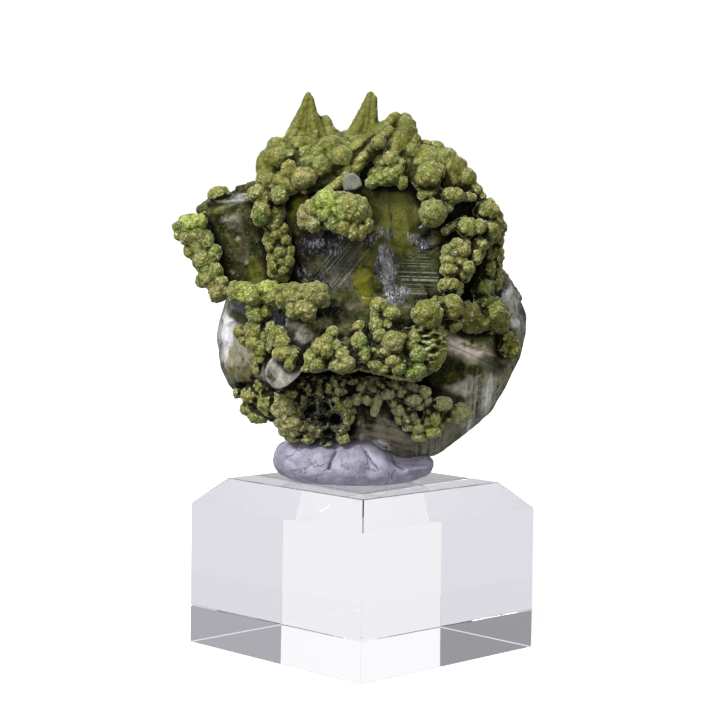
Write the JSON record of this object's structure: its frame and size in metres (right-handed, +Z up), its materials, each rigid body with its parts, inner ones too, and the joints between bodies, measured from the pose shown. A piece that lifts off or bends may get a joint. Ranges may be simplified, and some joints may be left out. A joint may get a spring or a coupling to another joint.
{
  "type": "mottramite and calcite specimen",
  "caption": "Olive-green mottramite in rounded lumps and spikes on smoky clear calcite, pressed with grey putty on a bevelled clear display block",
  "frame": {"origin": "middle of the clear block's underside, on the surface it stands on", "axes": "+Z up. The show face looks to -Y, with +X on its right. The block is turned so that one of its vertical edges points to -Y"},
  "size_m": [0.0567, 0.0538, 0.0863],
  "materials": {
    "clear_plastic": "clear and polished",
    "putty_grey": "matte and kneaded",
    "calcite": "glassy, smoky and clear",
    "mottramite": "fine drusy crust, olive green"
  },
  "bodies": {
    "root": {"clear_block": "clear_plastic", "mounting_putty": "putty_grey", "calcite_crystals": "calcite", "small_calcite_crystal": "calcite", "crown_growth": "mottramite", "left_arm_growth": "mottramite", "left_lump": "mottramite", "centre_knob": "mottramite", "right_bank_growth": "mottramite", "lower_growth": "mottramite", "back_crust": "mottramite"}
  },
  "joints": []
}
